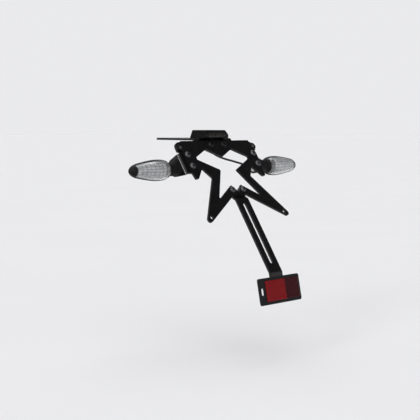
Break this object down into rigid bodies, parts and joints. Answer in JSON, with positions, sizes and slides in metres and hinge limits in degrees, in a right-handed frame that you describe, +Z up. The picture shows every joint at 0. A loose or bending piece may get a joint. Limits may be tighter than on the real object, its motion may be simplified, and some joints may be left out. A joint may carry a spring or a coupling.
{
  "type": "tail tidy",
  "caption": "Folded black motorcycle tail tidy: star-cut number-plate carrier with stalk indicators, plate lamp and a slotted arm holding a red reflector.",
  "frame": {"origin": "centre of the four tail bolts on the upper face of the mounting flange", "axes": "+X to the bike's right, +Y towards the bike's front, +Z up"},
  "size_m": [0.3418, 0.2107, 0.232],
  "materials": {
    "black_paint": "satin black powder coat",
    "bolt_steel": "dark zinc",
    "plain_steel": "zinc plated",
    "black_plastic": "fine-textured black",
    "red_lens": "clear red with prisms",
    "lamp_lens": "smoky clear with ribs",
    "lamp_bulb": "clear",
    "rubber": "moulded black",
    "lead_cover": "smooth black sleeve",
    "clear_lens": "clear with prisms",
    "bright_lining": "vacuum metallised",
    "amber_bulb": "amber"
  },
  "bodies": {
    "root": {"star_plate": "black_paint", "tail_bracket": "black_paint", "reflector_arm": "black_paint", "side_bolts": "bolt_steel", "top_bolts": "bolt_steel", "arm_bolts": "bolt_steel", "side_nuts": "plain_steel", "top_nuts": "plain_steel", "arm_nuts": "plain_steel", "reflector_stud": "plain_steel", "reflector_washer": "plain_steel", "reflector_nut": "plain_steel", "lamp_screws": "plain_steel", "left_indicator_lens_screw": "plain_steel", "left_indicator_stud": "plain_steel", "left_indicator_washer": "plain_steel", "left_indicator_nut": "plain_steel", "right_indicator_lens_screw": "plain_steel", "right_indicator_stud": "plain_steel", "right_indicator_washer": "plain_steel", "right_indicator_nut": "plain_steel", "reflector_base": "black_plastic", "lamp_housing": "black_plastic", "lamp_bulb_holder": "black_plastic", "plate_spacers": "black_plastic", "left_indicator_housing": "black_plastic", "left_indicator_bulb_holder": "black_plastic", "right_indicator_housing": "black_plastic", "right_indicator_bulb_holder": "black_plastic", "reflector_lens": "red_lens", "lamp_lens": "lamp_lens", "lamp_bulb": "lamp_bulb", "lead_grommet": "rubber", "left_indicator_stem": "rubber", "right_indicator_stem": "rubber", "right_indicator_lead": "lead_cover", "left_indicator_lens": "clear_lens", "right_indicator_lens": "clear_lens", "left_indicator_lining": "bright_lining", "right_indicator_lining": "bright_lining", "left_indicator_bulb": "amber_bulb", "right_indicator_bulb": "amber_bulb"}
  },
  "joints": []
}
